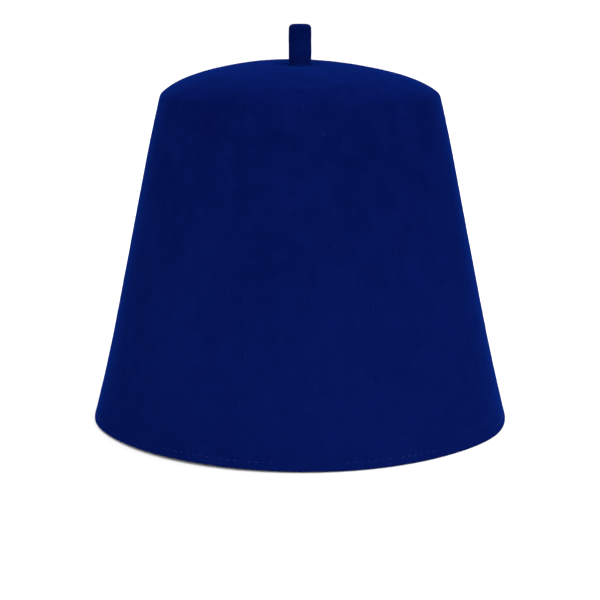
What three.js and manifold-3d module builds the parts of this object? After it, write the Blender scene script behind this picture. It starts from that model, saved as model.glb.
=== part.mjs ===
// A fez: a blocked felt crown, and a short felt stem that stands in a hole in its top.
// Millimetres, +Z up. The origin is the middle of the rim, on the surface that the rim rests on.
// The front of the hat faces -Y, its back +Y and its right side +X.

import * as THREE from 'three';
import { mergeVertices } from 'three/addons/utils/BufferGeometryUtils.js';
import Module from 'manifold-3d';

const wasm = await Module();
wasm.setup();

// Sizes of the crown, measured on its outer face unless the comment says otherwise
const HEAD_CIRCUMFERENCE = 570; // inside the rim
const FELT_THICKNESS = 2.5;
const WALL_HEIGHT = 141; // from the rim to where the shoulder starts to bend
const SHOULDER_RADIUS = 62; // at that height
const RIM_FLARE = 1.3; // how far the rim spreads past the straight wall
const FLARE_HEIGHT = 44; // how high up the wall the flare is felt
const SHOULDER_BEND = 8.2; // radius of the bend from wall to top
const DOME_RISE = 17.5; // from the start of the bend to the highest point
const DOME_EDGE_SLOPE = THREE.MathUtils.degToRad(31); // of the dome where the bend meets it
const HAUNCH_POWER = 6; // a higher power keeps the middle flatter and drops nearer the edge
const LEAN_LEFT = 3.5; // how far the highest point lies from the middle, to the hat's left
const LEAN_BACK = 5; // and towards its back

// Sizes of the stem
const STEM_RADIUS = 4.9;
const STEM_HEIGHT = 15.2; // of the part that shows
const STEM_TOP_ROUND = 1.5;
const FOOT_SPREAD = 0.4; // how far the foot is pressed out over the shaft
const FOOT_HEIGHT = 2.6;
const FLANGE_RADIUS = 8; // of the plain flange that holds the stem under the felt
const FLANGE_THICKNESS = 2;

// Gap that the stem keeps to the crown all round
const CLEARANCE = 0.3;

// How finely the round shapes are cut
const CROWN_SIDES = 72;
const FLARE_STEPS = 4;
const WALL_STEPS = 3;
const BEND_STEPS = 5;
const DOME_STEPS = 6;
const STEM_SIDES = 32;
const ROUND_STEPS = 4;

// Values that follow from the sizes
const rimInnerRadius = HEAD_CIRCUMFERENCE / (2 * Math.PI);
const rimRadius = rimInnerRadius + FELT_THICKNESS;
const straightRimRadius = rimRadius - RIM_FLARE;
const taper = (straightRimRadius - SHOULDER_RADIUS) / WALL_HEIGHT;
const wallSlope = Math.atan2(1, taper);
const apexHeight = WALL_HEIGHT + DOME_RISE;
const domeRadius = SHOULDER_RADIUS - SHOULDER_BEND * (Math.sin(wallSlope) - Math.sin(DOME_EDGE_SLOPE));
const bendRise = SHOULDER_BEND * (Math.cos(DOME_EDGE_SLOPE) - Math.cos(wallSlope));
const domeHeight = DOME_RISE - bendRise;
// The dome drops by a square term and a haunch term, which together give its height and edge slope.
const haunchDrop = (domeRadius * Math.tan(DOME_EDGE_SLOPE) - 2 * domeHeight) / (HAUNCH_POWER - 2);
const squareDrop = domeHeight - haunchDrop;

// One point of the crown's outer outline: its radius and height, and its slope angle, which is
// a right angle on an upright wall and 0 at the top of the dome
function outlinePoint(radius, height, slope) {
  return { radius, height, slope };
}

function wallPoint(height) {
  const flare = Math.max(0, 1 - height / FLARE_HEIGHT);
  const radius = straightRimRadius - taper * height + RIM_FLARE * flare * flare;
  const inwardRun = taper + (2 * RIM_FLARE * flare) / FLARE_HEIGHT;
  return outlinePoint(radius, height, Math.atan2(1, inwardRun));
}

function bendPoint(share) {
  const slope = wallSlope + share * (DOME_EDGE_SLOPE - wallSlope);
  const radius = SHOULDER_RADIUS - SHOULDER_BEND * (Math.sin(wallSlope) - Math.sin(slope));
  const height = WALL_HEIGHT + SHOULDER_BEND * (Math.cos(slope) - Math.cos(wallSlope));
  return outlinePoint(radius, height, slope);
}

function domePoint(radius) {
  const share = radius / domeRadius;
  const height = apexHeight - squareDrop * share ** 2 - haunchDrop * share ** HAUNCH_POWER;
  const fall = 2 * squareDrop * share + HAUNCH_POWER * haunchDrop * share ** (HAUNCH_POWER - 1);
  return outlinePoint(radius, height, Math.atan2(fall, domeRadius));
}

// The outer outline from the rim up to the highest point
function crownOutline() {
  const outline = [];
  for (let i = 0; i <= FLARE_STEPS; i++) {
    outline.push(wallPoint((FLARE_HEIGHT * i) / FLARE_STEPS));
  }
  for (let i = 1; i <= WALL_STEPS; i++) {
    outline.push(wallPoint(FLARE_HEIGHT + ((WALL_HEIGHT - FLARE_HEIGHT) * i) / WALL_STEPS));
  }
  for (let i = 1; i <= BEND_STEPS; i++) {
    outline.push(bendPoint(i / BEND_STEPS));
  }
  for (let i = 1; i <= DOME_STEPS; i++) {
    outline.push(domePoint(domeRadius * (1 - i / DOME_STEPS)));
  }
  return outline;
}

// The inner face lies one felt thickness inside the outer one, square to it.
function innerFacePoint(point) {
  return new THREE.Vector2(
    Math.max(0, point.radius - FELT_THICKNESS * Math.sin(point.slope)),
    point.height - FELT_THICKNESS * Math.cos(point.slope),
  );
}

// Turns a closed profile of radius and height round the Z axis
function turned(profile, sides) {
  return new THREE.LatheGeometry(profile, sides).rotateX(Math.PI / 2);
}

// The highest point lies a little to the left and back, and the wall below stays as it is.
function leanDome(geometry) {
  const position = geometry.getAttribute('position');
  for (let i = 0; i < position.count; i++) {
    const share = Math.max(0, (position.getZ(i) - WALL_HEIGHT) / DOME_RISE);
    position.setX(i, position.getX(i) - LEAN_LEFT * share);
    position.setY(i, position.getY(i) + LEAN_BACK * share);
  }
  return geometry;
}

function solidOf(geometry) {
  geometry.deleteAttribute('normal');
  geometry.deleteAttribute('uv');
  const merged = mergeVertices(geometry);
  const corners = merged.getIndex().array;
  const faces = [];
  for (let i = 0; i < corners.length; i += 3) {
    const [a, b, c] = [corners[i], corners[i + 1], corners[i + 2]];
    if (a !== b && b !== c && c !== a) {
      faces.push(a, b, c);
    }
  }
  return new wasm.Manifold(new wasm.Mesh({
    numProp: 3,
    vertProperties: new Float32Array(merged.getAttribute('position').array),
    triVerts: new Uint32Array(faces),
  }));
}

function geometryOf(solid) {
  const mesh = solid.getMesh();
  const geometry = new THREE.BufferGeometry();
  geometry.setAttribute('position', new THREE.BufferAttribute(mesh.vertProperties, 3));
  geometry.setIndex(new THREE.BufferAttribute(mesh.triVerts, 1));
  geometry.computeVertexNormals();
  return geometry;
}

// The crown: the felt shell, with the hole that the stem stands in
function crownGeometry() {
  const outline = crownOutline();
  const outerFace = outline.map((point) => new THREE.Vector2(point.radius, point.height));
  const innerFace = outline.slice(1).map(innerFacePoint).reverse();
  const rimInnerCorner = new THREE.Vector2(rimInnerRadius, 0);
  const shell = leanDome(turned([...innerFace, rimInnerCorner, ...outerFace], CROWN_SIDES));

  const holeRadius = STEM_RADIUS + CLEARANCE;
  const holeDepth = 4 * FELT_THICKNESS; // right through the felt, with room over and under it
  const hole = new THREE.CylinderGeometry(holeRadius, holeRadius, holeDepth, STEM_SIDES);
  hole.rotateX(Math.PI / 2).translate(0, 0, apexHeight);
  return geometryOf(solidOf(shell).subtract(solidOf(hole)));
}

// The stem: a flange under the felt, a neck through the hole, a pressed foot and a round shaft
function stemGeometry() {
  const footHeight = apexHeight + CLEARANCE;
  const topHeight = footHeight + STEM_HEIGHT;
  const overFlangeEdge = domePoint(FLANGE_RADIUS + Math.hypot(LEAN_LEFT, LEAN_BACK));
  const feltDepth = FELT_THICKNESS / Math.cos(overFlangeEdge.slope);
  const flangeTop = overFlangeEdge.height - feltDepth - CLEARANCE;
  const flangeBottom = flangeTop - FLANGE_THICKNESS;
  const profile = [
    new THREE.Vector2(0, flangeBottom),
    new THREE.Vector2(FLANGE_RADIUS, flangeBottom),
    new THREE.Vector2(FLANGE_RADIUS, flangeTop),
    new THREE.Vector2(STEM_RADIUS, flangeTop),
    new THREE.Vector2(STEM_RADIUS, footHeight),
  ];
  for (let i = 0; i <= ROUND_STEPS; i++) {
    const share = i / ROUND_STEPS;
    const spread = FOOT_SPREAD * (1 - share) ** 2;
    profile.push(new THREE.Vector2(STEM_RADIUS + spread, footHeight + FOOT_HEIGHT * share));
  }
  for (let i = 0; i <= ROUND_STEPS; i++) {
    const angle = (Math.PI / 2) * (i / ROUND_STEPS);
    profile.push(new THREE.Vector2(
      STEM_RADIUS - STEM_TOP_ROUND * (1 - Math.cos(angle)),
      topHeight - STEM_TOP_ROUND * (1 - Math.sin(angle)),
    ));
  }
  profile.push(new THREE.Vector2(0, topHeight));
  return geometryOf(solidOf(turned(profile, STEM_SIDES)));
}

function feltPiece(name, geometry, color) {
  const material = new THREE.MeshStandardMaterial({ color, roughness: 0.95, metalness: 0 });
  const mesh = new THREE.Mesh(geometry, material);
  mesh.name = name;
  return mesh;
}

const group = new THREE.Group();
group.add(feltPiece('crown', crownGeometry(), 0x061657));
group.add(feltPiece('stem', stemGeometry(), 0x031049));

export default group;
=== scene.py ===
"""A blue felt fez with a short felt stem, standing on its rim on a pale floor."""

import math

import bpy
import numpy as np
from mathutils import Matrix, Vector, noise
from mathutils.bvhtree import BVHTree


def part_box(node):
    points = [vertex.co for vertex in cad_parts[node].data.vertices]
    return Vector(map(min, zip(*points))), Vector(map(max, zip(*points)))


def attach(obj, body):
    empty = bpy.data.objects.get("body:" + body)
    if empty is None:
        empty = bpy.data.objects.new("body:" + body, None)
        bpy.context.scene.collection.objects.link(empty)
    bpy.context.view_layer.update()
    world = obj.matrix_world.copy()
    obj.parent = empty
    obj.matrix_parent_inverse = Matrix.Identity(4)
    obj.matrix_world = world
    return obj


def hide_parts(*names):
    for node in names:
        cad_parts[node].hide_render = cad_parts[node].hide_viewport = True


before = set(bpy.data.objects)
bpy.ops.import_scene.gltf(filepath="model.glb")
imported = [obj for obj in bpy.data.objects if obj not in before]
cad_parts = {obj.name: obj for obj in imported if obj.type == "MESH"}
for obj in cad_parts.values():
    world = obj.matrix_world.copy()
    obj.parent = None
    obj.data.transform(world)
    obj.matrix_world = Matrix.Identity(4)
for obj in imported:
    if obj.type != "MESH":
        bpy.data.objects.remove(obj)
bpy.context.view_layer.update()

MM = 0.001

# The crown's form, with its rim and the top of the stem where the frame has them
_, crown_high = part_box("crown")
_, stem_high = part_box("stem")
RIM_RADIUS = crown_high.x
FELT = 2.5 * MM
WALL_HEIGHT = 142.5 * MM
SHOULDER_RADIUS = 61.65 * MM
SHOULDER_DRAW = 0.5 * MM  # how much further the wall draws in just below the shoulder
DRAW_HEIGHT = 30 * MM  # over how much height it does
SHOULDER_TIP = 0.87 * MM  # how much the front of the shoulder is higher, and its back lower
DOME_RISE = 15.35 * MM
RIM_FLARE = 1.3 * MM
FLARE_HEIGHT = 44 * MM
SHOULDER_BEND = 4.4 * MM
DOME_EDGE_SLOPE = math.radians(39.4)
HAUNCH_POWER = 10.5  # a higher power keeps the middle flatter and drops nearer the edge
LEAN_LEFT = 3.7 * MM  # how far the top of the dome is drawn to the hat's left
LEAN_BACK = 16 * MM  # and to its back
LEAN_CURVE = 2  # the lean grows towards the top of the dome
LEAN_ROUNDS = 8  # rounds of working out how far a ring has to move against the lean
RIM_ROUND = 0.45 * MM  # the cut edge, softened by wear

# Small unevenness of the pressed felt
RIM_WAVE = 0.06 * MM  # how far the rim wavers up and down
# The rim's bumps off the floor and outwards, each with how far it goes, round which degree and
# over how many degrees
RIM_LIFT = ((0.35 * MM, 180, 60), (0.82 * MM, -118, 33))
RIM_SPREAD = ((1.5 * MM, -26, 15), (0.7 * MM, -162, 12), (-0.3 * MM, 0, 14), (-0.3 * MM, 180, 14))
SWELL_SIZE = 45 * MM  # broad swells that the blocking leaves in the wall
SWELL_DEPTH = 0.09 * MM
SWELL_PLACE = Vector((3, 7, 1))  # where in the noise the swells are taken from
LUMP_SIZE = 7 * MM  # soft lumps in the felt itself
LUMP_DEPTH = 0.05 * MM
FINE_LUMP = 0.45  # size of the finer lumps among them, as a share
DIMPLE_DEPTH = 1.1 * MM  # where the stem pulls the dome in
DIMPLE_REACH = 9.7 * MM
RECENTRED = 45 * MM  # how far from the middle the rings start to close round the stem

# The stitches above the rim
STITCH_HEIGHT = 3.2 * MM
STITCH_PITCH = 3.1 * MM
STITCH_SHOWN = 1.1 * MM  # length of thread that shows outside
THREAD_RADIUS = 0.18 * MM
SLACK_STRETCHES = 7  # stretches round the rim where the thread is slack and shows
STITCH_SLANT = 0.22  # radians that a stitch may lie askew
STITCH_ARCHES = (0.1, 1.2)  # shares of the arch that a stitch may have
STITCH_LENGTHS = (0.7, 1.25)  # and of the length
INNER_FREE = 0.6  # share of the shown length that is left free between two stitches inside
PUCKER_DEPTH = 0.16 * MM  # how far the thread pulls the felt in
PUCKER_REACH = 0.9 * MM
PUCKER_EVEN = 0.65  # share of the pucker that is the same all round; the rest follows the stitches

# The stem
STEM_RADIUS = 4.97 * MM
STEM_NECK_RADIUS = 3.5 * MM  # of the part that goes through the felt
STEM_FOOT_TUCK = 0.72 * MM  # how far the foot draws in where it meets the felt
STEM_TUCK_LEFT = 0.4  # share by which it draws in more on the left and less on the right
STEM_FOOT_HEIGHT = 2.6 * MM  # how high up the shaft the foot starts to draw in
STEM_FOOT_SINK = 0.06 * MM  # how deep its edge is pressed into the felt
STEM_TOP_ROUND = 1.9 * MM
STEM_TOP_DISH = 0.25 * MM
STEM_FLANGE_RADIUS = 8 * MM
STEM_FLANGE_THICKNESS = 2 * MM
STEM_FLANGE_ROUND = 0.4 * MM
STEM_NECK_DROP = 0.4 * MM  # how far below the foot's edge the neck starts
STEM_HOLE_GAP = 0.15 * MM
STEM_LUMP_SIZE = 5 * MM
STEM_LUMP_DEPTH = 0.12 * MM

# The patterns of the felt, each with the size of its patches and its share in the colour
CLOUDS = (34 * MM, 0.8)
PATCHES = (8 * MM, 0.8)
MATTING = (1.3 * MM, 0.8)
GRAIN = (0.42 * MM, 0.45)
FLECKS = (0.7 * MM, 0.35)
FLECK_LEVELS = (0.72, 0.80)  # between which the noise starts to show as a fleck
DOME_PATCHES = (146 * MM, 151 * MM, 0.45)  # heights over which the patches gain this share
MATTING_RELIEF = 1.2  # height of the relief, in grain depths
GRAIN_RELIEF = 0.5

# The fibres on the crown
NAP_LEAN = 1.25  # radians that a fibre of the nap leans at most, each of two ways
LOOSE_BOW = 0.45  # how far aside the middle of a loose fibre is drawn, in half lengths
LOOSE_RISE = 0.16  # and how far off the felt
LOOSE_TIP = 0.03  # how far one end of it stands off the felt, in half lengths
LOOSE_TURN = 1.5  # radians that a loose fibre lies off upright at most

# How finely the round shapes are cut
CROWN_SIDES = 384
OUTER_STEP = 1.5 * MM  # along the outer face of the crown, from rim to top
INNER_STEP = 3.2 * MM  # along the inner face
RIM_STEP_SHARE = 0.3  # of those steps, by the stitches
BEND_STEP_SHARE = 0.55  # and on the bend of the shoulder
CORNER_DEGREES = (0, 20, 40, 60, 80)  # where the points of the rim's rounding lie
STEM_SIDES = 72
STEM_ROUND_STEPS = 9  # over the foot, and over the rounding of the top
STEM_SHAFT_STEPS = 14
STEM_DISH_STEPS = 6
STEM_FLANGE_RINGS = slice(0, 5)  # of the rings that the stem is made of
STEM_FOOT_RINGS = slice(6, 6 + STEM_ROUND_STEPS)  # after those and the neck's

# The camera, fitted to the photograph's outline
CAMERA_DISTANCE = 0.7149
CAMERA_HEIGHT = 0.2072
CAMERA_PITCH = math.radians(12.324)
CAMERA_LENS = 97.246
CAMERA_SENSOR = 36  # its width in millimetres

# The studio
FLOOR_REACH = 30.0
FLOOR_SIDES = 64
SKY_STRENGTH = 1.16
LIGHT_AIM = Vector((0, 0, 0.08))  # about halfway up the hat


def make_camera():
    data = bpy.data.cameras.new("camera")
    data.lens = CAMERA_LENS
    data.sensor_width = CAMERA_SENSOR
    camera = bpy.data.objects.new("camera", data)
    camera.location = (0, -CAMERA_DISTANCE, CAMERA_HEIGHT)
    camera.rotation_euler = (math.pi / 2 - CAMERA_PITCH, 0, 0)
    bpy.context.scene.collection.objects.link(camera)
    bpy.context.scene.camera = camera


make_camera()


# Node trees


class Number:
    """A value that varies in a node tree. Sums and products of numbers add Math nodes."""

    def __init__(self, nodes, socket):
        self.nodes = nodes
        self.socket = socket

    def _maths(self, operation, *values):
        node = self.nodes.node("ShaderNodeMath", {"operation": operation}, dict(enumerate(values)))
        return Number(self.nodes, node.outputs[0])

    def __add__(self, other):
        return self._maths("ADD", self, other)

    __radd__ = __add__

    def __sub__(self, other):
        return self._maths("SUBTRACT", self, other)

    def __rsub__(self, other):
        return self._maths("SUBTRACT", other, self)

    def __mul__(self, other):
        return self._maths("MULTIPLY", self, other)

    __rmul__ = __mul__

    def __pow__(self, other):
        return self._maths("POWER", self, other)


class Nodes:
    """A node tree with one way to add a node: its type, its settings, then what its sockets get."""

    def __init__(self, tree):
        self.tree = tree

    def node(self, kind, settings=None, sockets=None):
        node = self.tree.nodes.new(kind)
        for name, value in (settings or {}).items():
            setattr(node, name, value)
        for name, value in (sockets or {}).items():
            self.feed(node.inputs[name], value)
        return node

    def feed(self, socket, value):
        if isinstance(value, Number):
            value = value.socket
        if isinstance(value, bpy.types.Node):
            value = value.outputs[0]
        if isinstance(value, bpy.types.NodeSocket):
            self.tree.links.new(value, socket)
        else:
            socket.default_value = value


class Finish(Nodes):
    """One material. Its patterns read Object coordinates, so its sizes are in real metres."""

    def __init__(self, name, **constants):
        self.material = bpy.data.materials.new(name)
        self.material.use_nodes = True
        super().__init__(self.material.node_tree)
        self.tree.nodes.clear()
        self.shader = self.node("ShaderNodeBsdfPrincipled", None, constants)
        self.node("ShaderNodeOutputMaterial", None, {"Surface": self.shader})
        self.place = self.node("ShaderNodeTexCoord").outputs["Object"]

    def part(self, axis):
        """How far along X, Y or Z the surface lies."""
        node = self.node("ShaderNodeSeparateXYZ", None, {0: self.place})
        return Number(self, node.outputs[axis])

    def mottle(self, size, detail=2.0, roughness=0.5, distortion=0.0, stretch=(1, 1, 1)):
        """Soft noise whose patches measure about size, as a number round 0.5."""
        scale = [1 / (size * share) for share in stretch]
        spot = self.node("ShaderNodeMapping", None, {"Vector": self.place, "Scale": scale})
        node = self.node("ShaderNodeTexNoise", None, {
            "Vector": spot, "Scale": 1.0, "Detail": detail, "Roughness": roughness,
            "Distortion": distortion,
        })
        return Number(self, node.outputs[0])

    def ramped(self, number, low, high):
        """0 where number is below low, 1 where it is above high, and smooth in between."""
        node = self.node("ShaderNodeMapRange", {"interpolation_type": "SMOOTHSTEP"}, {
            "Value": number, "From Min": low, "From Max": high,
        })
        return Number(self, node.outputs[0])

    def blended(self, share, first, second):
        """A colour that goes from first to second as share goes from 0 to 1."""
        node = self.node("ShaderNodeMix", {"data_type": "RGBA"}, {0: share, 6: first, 7: second})
        return node.outputs[2]

    def bumped(self, height):
        """Relief, with height as a number in metres."""
        bump = self.node("ShaderNodeBump", None, {"Height": height, "Distance": 1.0})
        self.feed(self.shader.inputs["Normal"], bump)


class Growth(Nodes):
    """A tree that makes what repeats, with named inputs for its sizes and its seed."""

    def __init__(self, name, inputs):
        super().__init__(bpy.data.node_groups.new(name, "GeometryNodeTree"))
        sockets = self.tree.interface
        sockets.new_socket("Geometry", in_out="INPUT", socket_type="NodeSocketGeometry")
        sockets.new_socket("Geometry", in_out="OUTPUT", socket_type="NodeSocketGeometry")
        for label, kind in inputs.items():
            sockets.new_socket(label, in_out="INPUT", socket_type=kind)
        self.given = self.node("NodeGroupInput")

    def size(self, name):
        return Number(self, self.given.outputs[name])

    def vector(self, x, y, z):
        return self.node("ShaderNodeCombineXYZ", None, {0: x, 1: y, 2: z})

    def random(self, low, high):
        node = self.node("FunctionNodeRandomValue", {"data_type": "FLOAT"}, {
            2: low, 3: high, "Seed": self.size("Seed"),
        })
        return Number(self, node.outputs[1])

    def place(self):
        """A node whose outputs are the X, Y and Z of each point."""
        position = self.node("GeometryNodeInputPosition")
        return self.node("ShaderNodeSeparateXYZ", None, {0: position})

    def spots(self):
        """Points spread over the carrier's faces, all above the height named Lowest."""
        above = self.node("ShaderNodeMath", {"operation": "GREATER_THAN"}, {
            0: self.place().outputs[2], 1: self.size("Lowest"),
        })
        return self.node("GeometryNodeDistributePointsOnFaces", None, {
            "Mesh": self.given.outputs["Geometry"], "Selection": above,
            "Density": self.size("Density"), "Seed": self.size("Seed"),
        })

    def close(self, instances, material):
        """Makes plain mesh of the instances, smooth and in their material."""
        plain = self.node("GeometryNodeRealizeInstances", None, {0: instances})
        smooth = self.node("GeometryNodeSetShadeSmooth", None, {0: plain})
        painted = self.node("GeometryNodeSetMaterial", None, {0: smooth, "Material": material})
        self.node("NodeGroupOutput", None, {0: painted})


def grown(name, mesh, growth, values):
    """An object with the plain mesh that a growth makes on a carrier mesh."""
    piece = bpy.data.objects.new(name, mesh)
    bpy.context.scene.collection.objects.link(piece)
    modifier = piece.modifiers.new("growth", "NODES")
    modifier.node_group = growth.tree
    for socket in growth.tree.interface.items_tree:
        if socket.in_out == "INPUT" and socket.name in values:
            modifier[socket.identifier] = values[socket.name]
    graph = bpy.context.evaluated_depsgraph_get()
    made = bpy.data.meshes.new_from_object(piece.evaluated_get(graph))
    piece.modifiers.clear()
    piece.data = made
    made.name = name
    return piece


def colour(red, green, blue):
    """A linear colour that a node socket takes."""
    return (red, green, blue, 1.0)


# Finishes


def felt_finish(name, deep, bright, fleck_and_painted_light, grain_depth, painted_light_rows, painted_shade_near_axis):
    """Pressed wool felt: matted grain, faint clouds of colour, and a blue bloom at a low angle.

    Each row of heights lightens the felt from one height down to another, by a share of the lighter
    colour, as painted light. Near the middle, from one radius in to another, the felt gets a share
    of the deep colour, as painted shade."""
    felt = Finish(name, **{
        "Roughness": 1.0,
        "Specular IOR Level": 0.0,
        "Sheen Weight": 0.15,
        "Sheen Roughness": 0.25,
        "Sheen Tint": colour(0.012, 0.12, 1.0),
    })
    height = felt.part("Z")
    dome_foot, dome_up, dome_gain = DOME_PATCHES
    patch_share = felt.ramped(height, dome_foot, dome_up) * dome_gain + PATCHES[1]
    clouds = felt.mottle(CLOUDS[0], detail=2.0)
    patches = felt.mottle(PATCHES[0], detail=2.0, roughness=0.55)
    matting = felt.mottle(MATTING[0], detail=3.0, roughness=0.6, distortion=1.6)
    grain = felt.mottle(GRAIN[0], detail=2.0, roughness=0.6)
    fine = (matting - 0.5) * MATTING[1] + (grain - 0.5) * GRAIN[1]
    tone = (clouds - 0.5) * CLOUDS[1] + (patches - 0.5) * patch_share + fine + 0.5

    # Painted shade: near the middle the felt is blended towards the deep colour, round the stem's
    # foot on the crown and on the middle of the stem's top.
    from_stem = (felt.part("X") ** 2.0 + felt.part("Y") ** 2.0) ** 0.5
    reach, contact, axis_shade_share = painted_shade_near_axis
    flat = felt.ramped(from_stem, reach, contact) * axis_shade_share
    body = felt.blended(flat, felt.blended(tone, deep, bright), deep)
    fleck_noise = felt.mottle(FLECKS[0], detail=1.0, stretch=(1, 1, 4))
    flecks = felt.ramped(fleck_noise, *FLECK_LEVELS) * FLECKS[1]
    # Painted light: each row lightens the felt below a height, towards the rim on the crown and
    # towards the foot on the stem.
    painted_light = sum(felt.ramped(height, upper, lower) * share for upper, lower, share in painted_light_rows)
    felt.feed(felt.shader.inputs["Base Color"], felt.blended(flecks + painted_light, body, fleck_and_painted_light))
    felt.bumped(matting * (MATTING_RELIEF * grain_depth) + grain * (GRAIN_RELIEF * grain_depth))
    return felt.material


def thread_finish():
    """Twisted sewing thread, a little greyer than the felt."""
    thread = Finish("thread_blue", **{
        "Roughness": 0.85,
        "Specular IOR Level": 0.04,
        "Sheen Weight": 0.05,
        "Sheen Tint": colour(0.1, 0.2, 1.0),
    })
    fuzz = thread.mottle(2.2 * MM, detail=3.0)
    shade = thread.blended(fuzz, colour(0.0036, 0.0085, 0.076), colour(0.0110, 0.0200, 0.145))
    thread.feed(thread.shader.inputs["Base Color"], shade)
    thread.bumped(fuzz * (0.05 * MM))
    return thread.material


def fibre_finish():
    """Loose wool fibres, some lighter and some darker than the felt that they lie on."""
    fibre = Finish("fibre_blue", **{"Roughness": 0.9, "Specular IOR Level": 0.08})
    patches = fibre.ramped(fibre.mottle(3 * MM, detail=1.0), 0.45, 0.56)
    shade = fibre.blended(patches, colour(0.002, 0.006, 0.060), colour(0.008, 0.022, 0.150))
    fibre.feed(fibre.shader.inputs["Base Color"], shade)
    return fibre.material


def floor_finish():
    """A pale matt studio floor with a trace of unevenness."""
    floor = Finish("floor_white", **{"Roughness": 0.9, "Specular IOR Level": 0.1})
    clouds = floor.mottle(0.6, detail=2.0)
    shade = floor.blended(clouds, colour(0.86, 0.86, 0.865), colour(0.88, 0.88, 0.885))
    floor.feed(floor.shader.inputs["Base Color"], shade)
    return floor.material


felt_blue = felt_finish(
    "felt_blue",
    deep=colour(0.00058, 0.0028, 0.041),
    bright=colour(0.0016, 0.0057, 0.068),
    # The colour of the lighter flecks, and of the painted light.
    fleck_and_painted_light=colour(0.0018, 0.0086, 0.092),
    grain_depth=0.10 * MM,
    # Painted light: lighter towards the rim, and more so in its lowest millimetres.
    painted_light_rows=((142 * MM, 0, 0.19), (3.6 * MM, 2.6 * MM, 0.06)),
    # Painted shade on the dome round the stem's foot.
    painted_shade_near_axis=(16 * MM, 5 * MM, 1.0),
)
# The crown's felt, its colours a little darker as painted shade on the stem.
felt_dark = felt_finish(
    "felt_dark",
    deep=colour(0.0004, 0.0026, 0.036),
    bright=colour(0.0012, 0.0055, 0.062),
    # The colour of the lighter flecks, and of the painted light.
    fleck_and_painted_light=colour(0.0034, 0.0150, 0.150),
    grain_depth=0.07 * MM,
    # Painted shade on the top of the stem, and much stronger painted light at its foot.
    painted_light_rows=((174 * MM, 160 * MM, 0.145), (158 * MM, 156 * MM, 0.75)),
    # Painted shade on the middle of the stem's top.
    painted_shade_near_axis=(4 * MM, 3 * MM, 1.0),
)
thread_blue = thread_finish()
fibre_blue = fibre_finish()


# Mesh helpers


def add_object(name, mesh, *materials):
    piece = bpy.data.objects.new(name, mesh)
    for material in materials:
        mesh.materials.append(material)
    bpy.context.scene.collection.objects.link(piece)
    return piece


def ring_faces(ring, next_ring, sides):
    """The four-sided faces between each ring and the one that follows it."""
    side = np.arange(sides)[None, :]
    next_side = (side + 1) % sides
    return np.stack([
        ring * sides + side,
        ring * sides + next_side,
        next_ring * sides + next_side,
        next_ring * sides + side,
    ], axis=-1).reshape(-1, 4).tolist()


def smooth_piece(name, points, faces, *materials):
    mesh = bpy.data.meshes.new(name)
    mesh.from_pydata(points, [], faces)
    mesh.shade_smooth()
    mesh.update()
    return add_object(name, mesh, *materials)


def hollow_piece(name, rings, *materials):
    """A smooth closed shell from rings of points, whose last ring joins the first."""
    count, sides, _ = rings.shape
    ring = np.arange(count)[:, None]
    faces = ring_faces(ring, (ring + 1) % count, sides)
    return smooth_piece(name, rings.reshape(-1, 3).tolist(), faces, *materials)


def solid_piece(name, rings, *materials):
    """A smooth solid from rings of points, closed by a point in the middle of each end."""
    count, sides, _ = rings.shape
    ring = np.arange(count - 1)[:, None]
    faces = ring_faces(ring, ring + 1, sides)
    first_middle = count * sides
    last_middle = first_middle + 1
    last_ring = (count - 1) * sides
    for side in range(sides):
        next_side = (side + 1) % sides
        faces.append([first_middle, next_side, side])
        faces.append([last_middle, last_ring + side, last_ring + next_side])
    points = rings.reshape(-1, 3).tolist() + [rings[0].mean(0).tolist(), rings[-1].mean(0).tolist()]
    return smooth_piece(name, points, faces, *materials)


def angles(sides):
    return np.arange(sides) * (2 * math.pi / sides)


def steps(start, end, size):
    """Even steps from start to end, near size apart, without the end itself."""
    count = max(1, round(abs(end - start) / size))
    return np.linspace(start, end, count, endpoint=False)


# The crown's outline: rows of radius, height, the outward direction's two parts, and how far up
# the dome the row lies, from 0 to 1

straight_rim = RIM_RADIUS - RIM_FLARE
apex_height = WALL_HEIGHT + DOME_RISE
taper = (straight_rim - SHOULDER_RADIUS - SHOULDER_DRAW) / WALL_HEIGHT
wall_slope = math.atan2(1, taper + 2 * SHOULDER_DRAW / DRAW_HEIGHT)
dome_radius = SHOULDER_RADIUS - SHOULDER_BEND * (math.sin(wall_slope) - math.sin(DOME_EDGE_SLOPE))
dome_height = DOME_RISE - SHOULDER_BEND * (math.cos(DOME_EDGE_SLOPE) - math.cos(wall_slope))
haunch_drop = (dome_radius * math.tan(DOME_EDGE_SLOPE) - 2 * dome_height) / (HAUNCH_POWER - 2)
square_drop = dome_height - haunch_drop


def outline_rows(radius, height, slope):
    rise = np.maximum(0, (height - WALL_HEIGHT) / DOME_RISE)
    return np.stack([radius, height, np.sin(slope), np.cos(slope), rise], axis=1)


def wall_rows(heights):
    flare = np.maximum(0, 1 - heights / FLARE_HEIGHT)
    draw = np.maximum(0, 1 - (WALL_HEIGHT - heights) / DRAW_HEIGHT)
    radius = straight_rim - taper * heights + RIM_FLARE * flare**2 - SHOULDER_DRAW * draw**2
    run = taper + 2 * RIM_FLARE * flare / FLARE_HEIGHT + 2 * SHOULDER_DRAW * draw / DRAW_HEIGHT
    return outline_rows(radius, heights, np.arctan2(1, run))


def bend_rows(slopes):
    radius = SHOULDER_RADIUS - SHOULDER_BEND * (math.sin(wall_slope) - np.sin(slopes))
    height = WALL_HEIGHT + SHOULDER_BEND * (np.cos(slopes) - math.cos(wall_slope))
    return outline_rows(radius, height, slopes)


def dome_rows(radii):
    share = radii / dome_radius
    height = apex_height - square_drop * share**2 - haunch_drop * share**HAUNCH_POWER
    fall = 2 * square_drop * share + HAUNCH_POWER * haunch_drop * share ** (HAUNCH_POWER - 1)
    return outline_rows(radii, height, np.arctan2(fall, dome_radius))


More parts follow.
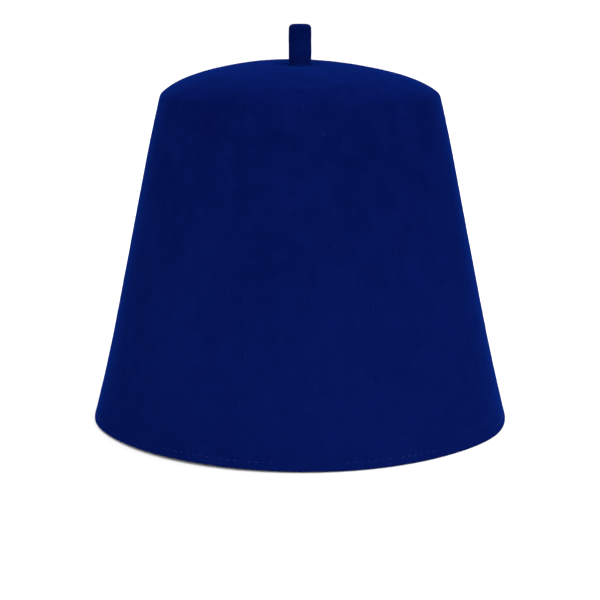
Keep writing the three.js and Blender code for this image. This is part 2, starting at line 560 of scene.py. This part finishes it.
def face_rows(step):
    """The outline from just over the rim's rounding to the hole for the stem."""
    fine_height = 2 * STITCH_HEIGHT
    hole_radius = STEM_NECK_RADIUS + STEM_HOLE_GAP
    return np.concatenate([
        wall_rows(steps(RIM_ROUND, fine_height, RIM_STEP_SHARE * step)),
        wall_rows(steps(fine_height, WALL_HEIGHT, step)),
        bend_rows(steps(wall_slope, DOME_EDGE_SLOPE, BEND_STEP_SHARE * step / SHOULDER_BEND)),
        dome_rows(steps(dome_radius, hole_radius, step)),
        dome_rows(np.array([hole_radius])),
    ])


def shifted(rows, depth):
    """The same outline, moved square to itself towards the inside."""
    moved = rows.copy()
    moved[:, 0] -= depth * rows[:, 2]
    moved[:, 1] -= depth * rows[:, 3]
    return moved


def rounded_corner(centre_radius, outer):
    """The rim's rounded lower corner, from its side down to the flat of the rim."""
    turn = np.radians(CORNER_DEGREES)
    side = 1 if outer else -1
    radius = centre_radius + side * RIM_ROUND * np.cos(turn)
    height = RIM_ROUND * (1 - np.sin(turn))
    flat = np.zeros(len(turn))
    return np.stack([radius, height, side * np.cos(turn), -np.sin(turn), flat], axis=1)


def crown_faces():
    """The outer face's rows and the inner face's, each from the rim to the hole for the stem."""
    outer = face_rows(OUTER_STEP)
    inner = shifted(face_rows(INNER_STEP), FELT)
    inner[-1, 0] = outer[-1, 0]
    outer_corner = rounded_corner(outer[0, 0] - RIM_ROUND, outer=True)
    inner_corner = rounded_corner(inner[0, 0] + RIM_ROUND, outer=False)
    inner = inner[inner[:, 1] > RIM_ROUND]
    inner[:, 2:4] *= -1
    outer = np.concatenate([outer_corner[:0:-1], outer])
    inner = np.concatenate([inner_corner[:0:-1], inner])
    return outer, inner


# The crown


def felt_swell(point):
    """How far the felt stands out at a point, in metres."""
    swell = noise.noise(point / SWELL_SIZE + SWELL_PLACE) * SWELL_DEPTH
    fine_lump = noise.noise(point / (FINE_LUMP * LUMP_SIZE))
    lump = noise.noise(point / LUMP_SIZE) + 0.5 * fine_lump
    return swell + lump * LUMP_DEPTH


def bumps(angle, places):
    """The sum of smooth bumps round the rim."""
    degrees = np.degrees(angle)
    away = [(degrees - middle + 180) % 360 - 180 for _, middle, _ in places]
    return sum(far * np.exp(-((a / width) ** 2)) for a, (far, _, width) in zip(away, places))


def with_uneven_rim(points):
    """The points, with those near the rim moved up and outwards as the rim is there."""
    near_rim = np.maximum(0, 1 - points[..., 2] / FLARE_HEIGHT) ** 2
    angle = np.arctan2(points[..., 1], points[..., 0])
    spread = bumps(angle, RIM_SPREAD) * near_rim
    waver = RIM_WAVE * (1 + 0.6 * np.sin(5 * angle + 1) + 0.4 * np.sin(11 * angle))
    lift = (bumps(angle, RIM_LIFT) + waver) * near_rim
    return points + np.stack([spread * np.cos(angle), spread * np.sin(angle), lift], axis=-1)


def face_points(rows):
    """A face's rings of points, with its swells, its pucker, the dome's lean and the dimple."""
    angle = angles(CROWN_SIDES)[None, :]
    radius, height, out_side, out_up, rise = (column[:, None] for column in rows.T)
    top = rows[np.argsort(rows[:, 0])]
    # Towards the top the rings first move against the lean, so that the hole stays round the stem.
    back_share = np.clip((RECENTRED - radius) / (RECENTRED - rows[-1, 0]), 0, 1)
    back_share = back_share**2 * (3 - 2 * back_share)
    away = radius
    for _ in range(LEAN_ROUNDS):
        lean = back_share * np.interp(away, top[:, 0], top[:, 4]) ** LEAN_CURVE
        x = radius * np.cos(angle) + LEAN_LEFT * lean
        y = radius * np.sin(angle) - LEAN_BACK * lean
        away = np.hypot(x, y)
    height = np.where(back_share > 0, np.interp(away, top[:, 0], top[:, 1]), height)
    rise = np.where(back_share > 0, np.interp(away, top[:, 0], top[:, 4]), rise)
    place = np.stack([x, y, height], axis=-1)

    swell = np.array([felt_swell(Vector(point)) for point in place.reshape(-1, 3)])
    swell = swell.reshape(height.shape) * np.clip(height / STITCH_HEIGHT, 0, 1)
    across = (height - STITCH_HEIGHT) / PUCKER_REACH
    pull = PUCKER_EVEN + (1 - PUCKER_EVEN) * np.cos(angle * stitch_count)
    swell = swell - PUCKER_DEPTH * np.exp(-across**2) * pull
    direction = [out_side * np.cos(angle), out_side * np.sin(angle), out_up]
    place += np.stack(np.broadcast_arrays(*direction), axis=-1) * swell[:, :, None]

    place[:, :, 0] -= LEAN_LEFT * rise**LEAN_CURVE
    place[:, :, 1] += LEAN_BACK * rise**LEAN_CURVE
    from_stem = np.hypot(place[:, :, 0], place[:, :, 1])
    place[:, :, 2] -= DIMPLE_DEPTH * np.exp(-((from_stem / DIMPLE_REACH) ** 2))
    high = np.clip(place[:, :, 2] / WALL_HEIGHT, 0, 1)
    place[:, :, 2] -= SHOULDER_TIP * high**3 * place[:, :, 1] / SHOULDER_RADIUS
    return with_uneven_rim(place)


def make_crown():
    outer, inner = (face_points(rows) for rows in crown_faces())
    return hollow_piece("felt_crown", np.concatenate([outer, inner[::-1]]), felt_blue)


stitch_count = round(2 * math.pi * RIM_RADIUS / STITCH_PITCH)
crown = make_crown()


# The stem


crown_surface = BVHTree.FromObject(crown, bpy.context.evaluated_depsgraph_get())


def crown_height(radius, outer):
    """How high the crown's outer or inner face lies at a radius, all the way round the stem."""
    start, way = (stem_high.z, -1) if outer else (0, 1)
    angle = angles(STEM_SIDES)
    heights = np.full(STEM_SIDES, start)
    places = np.stack([radius * np.cos(angle), radius * np.sin(angle), heights], axis=1)
    up_or_down = Vector((0, 0, way))
    return np.array([crown_surface.ray_cast(Vector(place), up_or_down)[0].z for place in places])


def make_stem():
    """A flange under the felt, a neck through it, a foot drawn in on top of it, and a shaft."""
    angle = angles(STEM_SIDES)
    foot_share = np.linspace(1, 0, STEM_ROUND_STEPS)
    tuck = STEM_FOOT_TUCK * (1 - STEM_TUCK_LEFT * np.cos(angle))
    seat = crown_height(STEM_RADIUS - tuck, outer=True) - STEM_FOOT_SINK
    under_edge = crown_height(STEM_FLANGE_RADIUS, outer=False) - STEM_HOLE_GAP
    under_hole = crown_height(STEM_NECK_RADIUS + 2 * STEM_HOLE_GAP, outer=False) - STEM_HOLE_GAP
    foot = seat.mean()
    top = stem_high.z
    turn = np.linspace(0, math.pi / 2, STEM_ROUND_STEPS)
    shaft = np.linspace(foot + STEM_FOOT_HEIGHT, top - STEM_TOP_ROUND, STEM_SHAFT_STEPS)[1:-1]
    dish_edge = STEM_RADIUS - STEM_TOP_ROUND
    dish_radius = np.linspace(dish_edge, 0, STEM_DISH_STEPS, endpoint=False)[1:]
    dish = 1 - (dish_radius / dish_edge) ** 2
    flange_side = STEM_FLANGE_RADIUS - STEM_FLANGE_ROUND
    radius = np.concatenate([
        [flange_side, STEM_FLANGE_RADIUS, STEM_FLANGE_RADIUS],
        [flange_side, STEM_NECK_RADIUS, STEM_NECK_RADIUS],
        np.full(len(foot_share), STEM_RADIUS),
        np.full(len(shaft), STEM_RADIUS),
        STEM_RADIUS - STEM_TOP_ROUND * (1 - np.cos(turn)),
        dish_radius,
    ])
    height = np.concatenate([
        np.zeros(STEM_FLANGE_RINGS.stop),
        [foot - STEM_NECK_DROP],
        foot + STEM_FOOT_HEIGHT * (1 - foot_share),
        shaft,
        top - STEM_TOP_ROUND * (1 - np.sin(turn)),
        top - STEM_TOP_DISH * dish,
    ])
    radius = np.repeat(radius[:, None], STEM_SIDES, axis=1)
    height = np.repeat(height[:, None], STEM_SIDES, axis=1)
    radius[STEM_FOOT_RINGS] -= np.outer(foot_share**2, tuck)
    height[STEM_FOOT_RINGS] += np.outer(foot_share, seat - foot)
    height[STEM_FLANGE_RINGS] = [
        under_edge - STEM_FLANGE_THICKNESS,
        under_edge - STEM_FLANGE_THICKNESS + STEM_FLANGE_ROUND,
        under_edge - STEM_FLANGE_ROUND,
        under_edge,
        under_hole,
    ]
    place = np.stack([radius * np.cos(angle), radius * np.sin(angle), height], axis=-1)
    for ring in place:
        for point in ring:
            swell = noise.noise(Vector(point) / STEM_LUMP_SIZE) * STEM_LUMP_DEPTH
            point[:2] *= 1 + swell / STEM_RADIUS
    return solid_piece("felt_stem", place, felt_dark)


stem = make_stem()


# The stitches above the rim


def stitch_growth():
    """A round of short arched stitches, whose ends sink into the felt."""
    row = Growth("stitch_row", {
        "Count": "NodeSocketInt", "Row Radius": "NodeSocketFloat", "Row Height": "NodeSocketFloat",
        "Length": "NodeSocketFloat", "Thread Radius": "NodeSocketFloat", "Arch": "NodeSocketFloat",
        "Slack Stretches": "NodeSocketInt", "Seed": "NodeSocketInt",
    })
    half = row.size("Length") * 0.5
    sink = row.size("Arch") * -1.0
    line = row.node("GeometryNodeCurveQuadraticBezier", None, {
        "Resolution": 8,
        "Start": row.vector(sink, half * -1.0, 0.0),
        "Middle": row.vector(row.size("Arch") * 2.2, 0.0, 0.0),
        "End": row.vector(sink, half, 0.0),
    })
    round_thread = row.node("GeometryNodeCurvePrimitiveCircle", None, {
        "Resolution": 8, "Radius": row.size("Thread Radius"),
    })
    stitch = row.node("GeometryNodeCurveToMesh", None, {
        "Curve": line, "Profile Curve": round_thread, "Fill Caps": True,
    })
    ring = row.node("GeometryNodeMeshCircle", None, {
        "Vertices": row.size("Count"), "Radius": row.size("Row Radius"),
    })
    raised = row.node("GeometryNodeTransform", None, {
        "Geometry": ring, "Translation": row.vector(0.0, 0.0, row.size("Row Height")),
    })
    place = row.place()
    turn = row.node("ShaderNodeMath", {"operation": "ARCTAN2"}, {
        0: place.outputs[1], 1: place.outputs[0],
    })
    # The slack grows from nearly 0 between two stretches to 1 in the middle of each.
    from_front = Number(row, turn.outputs[0]) + math.pi / 2
    wave = row.node("ShaderNodeMath", {"operation": "COSINE"}, {
        0: from_front * row.size("Slack Stretches"),
    })
    slack = (0.53 - Number(row, wave.outputs[0]) * 0.47) ** 2.0
    slant = row.random(-STITCH_SLANT, STITCH_SLANT)
    arch = slack * row.random(*STITCH_ARCHES)
    stitches = row.node("GeometryNodeInstanceOnPoints", None, {
        "Points": raised, "Instance": stitch,
        "Rotation": row.vector(slant, 0.0, turn),
        "Scale": row.vector(arch, row.random(*STITCH_LENGTHS), 1.0),
    })
    row.close(stitches, thread_blue)
    return row


def make_stitches():
    growth = stitch_growth()
    wall_radius, _, out_side, _, _ = wall_rows(np.array([STITCH_HEIGHT]))[0]
    inner_length = STITCH_PITCH - INNER_FREE * STITCH_SHOWN
    rows = (
        ("stitches_outside", wall_radius - PUCKER_DEPTH, STITCH_SHOWN, 1.0),
        ("stitches_inside", wall_radius - FELT * out_side, inner_length, -1.0),
    )
    made = []
    for name, radius, length, side in rows:
        piece = grown(name, crown.data, growth, {
            "Count": stitch_count, "Row Radius": radius, "Row Height": STITCH_HEIGHT,
            "Length": length, "Thread Radius": THREAD_RADIUS, "Arch": side * THREAD_RADIUS,
            "Slack Stretches": SLACK_STRETCHES, "Seed": 4,
        })
        points = np.empty(len(piece.data.vertices) * 3)
        piece.data.vertices.foreach_get("co", points)
        piece.data.vertices.foreach_set("co", with_uneven_rim(points.reshape(-1, 3)).ravel())
        piece.data.update()
        made.append(piece)
    return made


stitches = make_stitches()


# The nap and the loose fibres


def nap_growth():
    """Short fibres that stand out of the felt at all angles, each a thin closed spike."""
    nap = Growth("nap", {
        "Density": "NodeSocketFloat", "Length": "NodeSocketFloat", "Thickness": "NodeSocketFloat",
        "Lowest": "NodeSocketFloat", "Seed": "NodeSocketInt",
    })
    spike = nap.node("GeometryNodeMeshCone", {"fill_type": "NGON"}, {
        "Vertices": 3, "Radius Bottom": nap.size("Thickness") * 0.5, "Radius Top": 0.0,
        "Depth": nap.size("Length"),
    })
    spots = nap.spots()
    lean = nap.node("FunctionNodeRandomValue", {"data_type": "FLOAT_VECTOR"}, {
        0: (-NAP_LEAN, -NAP_LEAN, -math.pi), 1: (NAP_LEAN, NAP_LEAN, math.pi),
        "Seed": nap.size("Seed"),
    })
    turned = nap.node("FunctionNodeRotateRotation", {"rotation_space": "LOCAL"}, {
        "Rotation": spots.outputs["Rotation"], "Rotate By": lean,
    })
    fibres = nap.node("GeometryNodeInstanceOnPoints", None, {
        "Points": spots, "Instance": spike, "Rotation": turned, "Scale": nap.random(0.4, 1.0),
    })
    nap.close(fibres, felt_blue)
    return nap


def loose_growth():
    """Longer fibres that lie on the felt, most of them near upright, each a bent thin rod."""
    loose = Growth("loose_fibres", {
        "Density": "NodeSocketFloat", "Length": "NodeSocketFloat", "Thickness": "NodeSocketFloat",
        "Lowest": "NodeSocketFloat", "Seed": "NodeSocketInt",
    })
    half = loose.size("Length") * 0.5
    line = loose.node("GeometryNodeCurveQuadraticBezier", None, {
        "Resolution": 5,
        "Start": loose.vector(half * -1.0, 0.0, 0.0),
        "Middle": loose.vector(0.0, half * LOOSE_BOW, half * LOOSE_RISE),
        "End": loose.vector(half, 0.0, half * LOOSE_TIP),
    })
    rod = loose.node("GeometryNodeCurveToMesh", None, {
        "Curve": line,
        "Profile Curve": loose.node("GeometryNodeCurvePrimitiveCircle", None, {
            "Resolution": 4, "Radius": loose.size("Thickness") * 0.5,
        }),
        "Fill Caps": True,
    })
    spots = loose.spots()
    upright = loose.node("FunctionNodeAlignRotationToVector", {"axis": "X", "pivot_axis": "Z"}, {
        "Rotation": spots.outputs["Rotation"], "Vector": (0, 0, 1),
    })
    off_upright = loose.random(-1.0, 1.0) ** 3.0 * LOOSE_TURN
    turned = loose.node("FunctionNodeRotateRotation", {"rotation_space": "LOCAL"}, {
        "Rotation": upright, "Rotate By": loose.vector(0.0, 0.0, off_upright),
    })
    fibres = loose.node("GeometryNodeInstanceOnPoints", None, {
        "Points": spots, "Instance": rod, "Rotation": turned, "Scale": loose.random(0.5, 1.0),
    })
    loose.close(fibres, fibre_blue)
    return loose


def make_fibres():
    nap = nap_growth()
    loose = loose_growth()
    return [
        grown("crown_nap", crown.data, nap, {
            "Density": 160000.0, "Length": 0.75 * MM, "Thickness": 0.07 * MM,
            "Lowest": 2 * MM, "Seed": 1,
        }),
        grown("crown_fibres", crown.data, loose, {
            "Density": 5200.0, "Length": 2.6 * MM, "Thickness": 0.1 * MM,
            "Lowest": 6 * MM, "Seed": 2,
        }),
    ]


fibres = make_fibres()


# The studio


def make_floor():
    mesh = bpy.data.meshes.new("floor")
    ring = [(FLOOR_REACH * math.cos(a), FLOOR_REACH * math.sin(a), 0) for a in angles(FLOOR_SIDES)]
    mesh.from_pydata(ring, [], [tuple(range(FLOOR_SIDES))])
    floor = add_object("floor", mesh, floor_finish())


def make_world():
    world = bpy.data.worlds.new("studio")
    world.use_nodes = True
    background = world.node_tree.nodes["Background"]
    background.inputs["Color"].default_value = (1, 1, 1, 1)
    background.inputs["Strength"].default_value = SKY_STRENGTH
    bpy.context.scene.world = world
    bpy.context.scene.view_settings.view_transform = "Standard"


def soft_light(name, azimuth, elevation, distance, size, power):
    """A square soft light that faces the hat. Azimuth 0 is the photograph's side."""
    a = math.radians(azimuth)
    e = math.radians(elevation)
    back = Vector((math.sin(a) * math.cos(e), -math.cos(a) * math.cos(e), math.sin(e)))
    data = bpy.data.lights.new(name, "AREA")
    data.size = size
    data.energy = power
    light = bpy.data.objects.new(name, data)
    light.location = LIGHT_AIM + back * distance
    light.rotation_euler = back.to_track_quat("Z", "Y").to_euler()
    bpy.context.scene.collection.objects.link(light)


make_floor()
make_world()
soft_light("top_light", azimuth=140, elevation=69, distance=2.0, size=1.6, power=32.2)
soft_light("key_light", azimuth=10, elevation=20, distance=2.0, size=1.2, power=13.5)

for piece in (crown, stem, *stitches, *fibres):
    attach(piece, "root")
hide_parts("crown")
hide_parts("stem")
